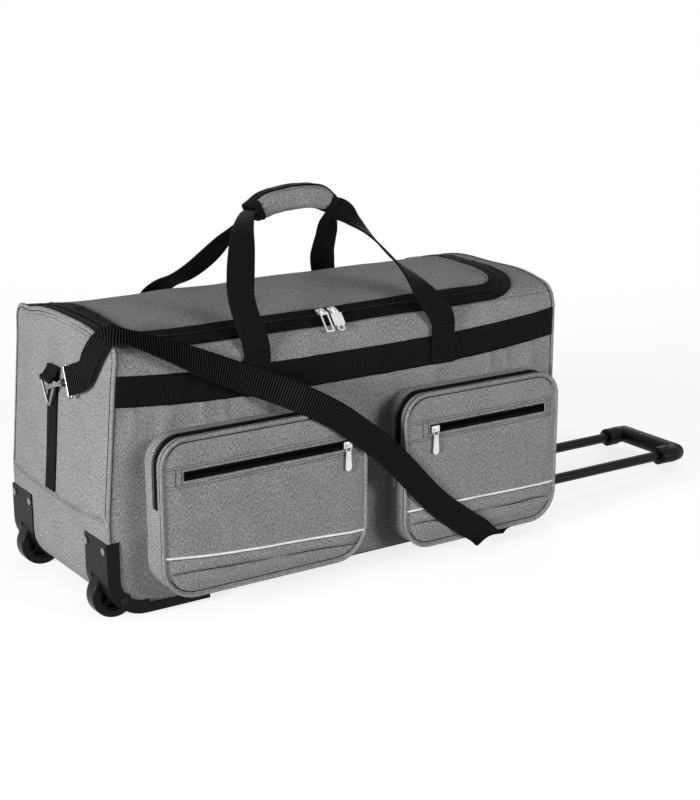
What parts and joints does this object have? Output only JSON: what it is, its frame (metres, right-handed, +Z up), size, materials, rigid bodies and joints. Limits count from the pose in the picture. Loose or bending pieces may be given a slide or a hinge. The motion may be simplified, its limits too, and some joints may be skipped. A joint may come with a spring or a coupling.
{
  "type": "rolling duffel bag",
  "caption": "Soft-sided duffel bag on corner wheels, with a pull-out trolley handle, zipped lid, two front pockets, joined carry handles and a clip-on shoulder strap.",
  "frame": {"origin": "on the floor under the middle of the whole object's box, handle pulled out", "axes": "+X along the bag towards the trolley handle, -Y towards the pockets, +Z up"},
  "size_m": [1.0926, 0.3576, 0.5105],
  "materials": {
    "grey_fabric": "matte heather polyester weave",
    "top_fabric": "matte heather polyester weave, darker shade",
    "black_fabric": "matte coated polyester",
    "zip_tape": "woven tape with nylon chain",
    "webbing": "ribbed polypropylene webbing",
    "strap_webbing": "ribbed polypropylene webbing",
    "reflective": "reflective tape round a cord",
    "black_plastic": "fine grained moulding",
    "stiffener": "plain sheet",
    "tyre": "soft matte tread",
    "black_tube": "satin powder coat on steel",
    "steel": "drawn steel",
    "nickel": "bright nickel plate",
    "slider_metal": "nickel-plated die casting"
  },
  "bodies": {
    "bag": {"front_panel": "grey_fabric", "back_panel": "grey_fabric", "left_end_panel": "grey_fabric", "right_end_panel": "grey_fabric", "bottom_panel": "black_fabric", "base_board": "stiffener", "top_surround": "top_fabric", "surround_zip_tape": "zip_tape", "end_reinforcement": "grey_fabric", "end_piping": "top_fabric", "body_bands": "webbing", "end_webbing": "webbing", "left_pocket": "grey_fabric", "right_pocket": "grey_fabric", "pocket_front_zips": "zip_tape", "pocket_gusset_zips": "zip_tape", "reflective_piping": "reflective", "handle_anchors": "webbing", "front_wheel_housing": "black_plastic", "back_wheel_housing": "black_plastic", "axles": "steel", "housing_rivets": "nickel", "rear_feet": "black_plastic", "outer_tubes": "steel", "tube_guide": "black_plastic", "chassis_crossbar": "black_plastic", "strap_swivels": "nickel", "shoulder_strap": "strap_webbing", "strap_adjuster": "black_plastic"},
    "front_wheel": {"front_tyre": "tyre", "front_wheel_hub": "black_plastic"},
    "back_wheel": {"back_tyre": "tyre", "back_wheel_hub": "black_plastic"},
    "trolley": {"inner_tubes": "black_tube", "trolley_grip": "black_plastic", "grip_collars": "black_plastic", "button_spring": "steel"},
    "button": {"release_button": "black_plastic", "release_rods": "steel"},
    "lid": {"lid_panel": "top_fabric", "lid_zip_tape": "zip_tape"},
    "front_carry_handle": {"front_handle": "webbing", "grip_wrap": "grey_fabric"},
    "back_carry_handle": {"back_handle": "webbing"},
    "left_ring": {"left_ring": "nickel"},
    "right_ring": {"right_ring": "nickel"},
    "left_hook": {"left_hook": "nickel"},
    "left_gate": {"left_hook_gate": "nickel"},
    "right_hook": {"right_hook": "nickel"},
    "right_gate": {"right_hook_gate": "nickel"},
    "main_slider_left": {"main_slider_left": "slider_metal"},
    "main_pull_left": {"main_pull_left": "slider_metal"},
    "main_slider_right": {"main_slider_right": "slider_metal"},
    "main_pull_right": {"main_pull_right": "slider_metal"},
    "left_pocket_slider": {"left_pocket_slider": "slider_metal"},
    "left_pocket_pull": {"left_pocket_pull": "slider_metal"},
    "right_pocket_slider": {"right_pocket_slider": "slider_metal"},
    "right_pocket_pull": {"right_pocket_pull": "slider_metal"},
    "left_gusset_slider": {"left_gusset_slider": "slider_metal"},
    "right_gusset_slider": {"right_gusset_slider": "slider_metal"}
  },
  "joints": [
    {"name": "front_wheel_spin", "type": "hinge", "parent": "bag", "child": "front_wheel", "pos_m": [-0.5147, -0.089, 0.0316], "axis": [0, 1, 0], "continuous": true},
    {"name": "back_wheel_spin", "type": "hinge", "parent": "bag", "child": "back_wheel", "pos_m": [-0.5147, 0.137, 0.0316], "axis": [0, 1, 0], "continuous": true},
    {"name": "trolley_slide", "type": "slide", "parent": "bag", "child": "trolley", "axis": [1, 0, 0], "range_m": [-0.3, 0]},
    {"name": "release_button_press", "type": "slide", "parent": "trolley", "child": "button", "axis": [-1, 0, 0], "range_m": [0, 0.003], "stiffness_N_per_m": 900, "springref_m": -0.002},
    {"name": "lid_open", "type": "hinge", "parent": "bag", "child": "lid", "pos_m": [-0.1737, 0.1431, 0.36163], "axis": [-1, 0, 0], "range_deg": [0, 100]},
    {"name": "front_handle_fold", "type": "hinge", "parent": "bag", "child": "front_carry_handle", "pos_m": [-0.1737, -0.1275, 0.3285], "axis": [1, 0, 0], "range_deg": [0, 152]},
    {"name": "back_handle_fold", "type": "hinge", "parent": "bag", "child": "back_carry_handle", "pos_m": [-0.1737, 0.1755, 0.3285], "axis": [-1, 0, 0], "range_deg": [0, 152]},
    {"name": "left_ring_swing", "type": "hinge", "parent": "bag", "child": "left_ring", "pos_m": [-0.5341, 0.038, 0.29], "axis": [0, 1, 0], "range_deg": [-2, 2]},
    {"name": "right_ring_swing", "type": "hinge", "parent": "bag", "child": "right_ring", "pos_m": [0.1977, 0.038, 0.29], "axis": [0, -1, 0], "range_deg": [-1.4, 1.4]},
    {"name": "left_hook_swivel", "type": "hinge", "parent": "bag", "child": "left_hook", "pos_m": [-0.5341, -0.0135, 0.2965], "axis": [0, 0.9397, -0.342], "range_deg": [-12, 12]},
    {"name": "right_hook_swivel", "type": "hinge", "parent": "bag", "child": "right_hook", "pos_m": [0.1977, 0.038, 0.2156], "axis": [0, 0, 1], "range_deg": [-6, 6]},
    {"name": "left_gate_open", "type": "hinge", "parent": "left_hook", "child": "left_gate", "pos_m": [-0.5281, 0.00153, 0.29103], "axis": [0, 0.342, 0.9397], "range_deg": [0, 5], "stiffness_Nm_per_rad": 0.05, "springref_deg": -5.73},
    {"name": "right_gate_open", "type": "hinge", "parent": "right_hook", "child": "right_gate", "pos_m": [0.2037, 0.038, 0.2316], "axis": [0, -1, 0], "range_deg": [0, 16], "stiffness_Nm_per_rad": 0.05, "springref_deg": -5.73},
    {"name": "main_zip_left_run", "type": "slide", "parent": "lid", "child": "main_slider_left", "axis": [-1, 0, 0], "range_m": [0, 0.075]},
    {"name": "main_zip_right_run", "type": "slide", "parent": "lid", "child": "main_slider_right", "axis": [1, 0, 0], "range_m": [0, 0.11]},
    {"name": "main_pull_left_lift", "type": "hinge", "parent": "main_slider_left", "child": "main_pull_left", "pos_m": [-0.1997, -0.09964, 0.36522], "axis": [-1, 0, 0], "range_deg": [0, 140]},
    {"name": "main_pull_right_lift", "type": "hinge", "parent": "main_slider_right", "child": "main_pull_right", "pos_m": [-0.1817, -0.09964, 0.36522], "axis": [-1, 0, 0], "range_deg": [0, 140]},
    {"name": "left_pocket_zip_run", "type": "slide", "parent": "bag", "child": "left_pocket_slider", "axis": [-1, 0, 0], "range_m": [0, 0.236]},
    {"name": "right_pocket_zip_run", "type": "slide", "parent": "bag", "child": "right_pocket_slider", "axis": [1, 0, 0], "range_m": [0, 0.188]},
    {"name": "left_pocket_pull_lift", "type": "hinge", "parent": "left_pocket_slider", "child": "left_pocket_pull", "pos_m": [-0.2037, -0.172, 0.197], "axis": [-1, 0, 0], "range_deg": [0, 120]},
    {"name": "right_pocket_pull_lift", "type": "hinge", "parent": "right_pocket_slider", "child": "right_pocket_pull", "pos_m": [-0.0597, -0.172, 0.195], "axis": [-1, 0, 0], "range_deg": [0, 150]},
    {"name": "left_gusset_zip_run", "type": "slide", "parent": "bag", "child": "left_gusset_slider", "axis": [0, 0, 1], "range_m": [-0.08, 0.025]},
    {"name": "right_gusset_zip_run", "type": "slide", "parent": "bag", "child": "right_gusset_slider", "axis": [0, 0, 1], "range_m": [-0.05, 0.05]}
  ],
  "couplings": [
    {"joint": "front_handle_fold", "follows": "lid_open", "ratio": 1.5},
    {"joint": "back_handle_fold", "follows": "lid_open", "ratio": 1.5}
  ]
}
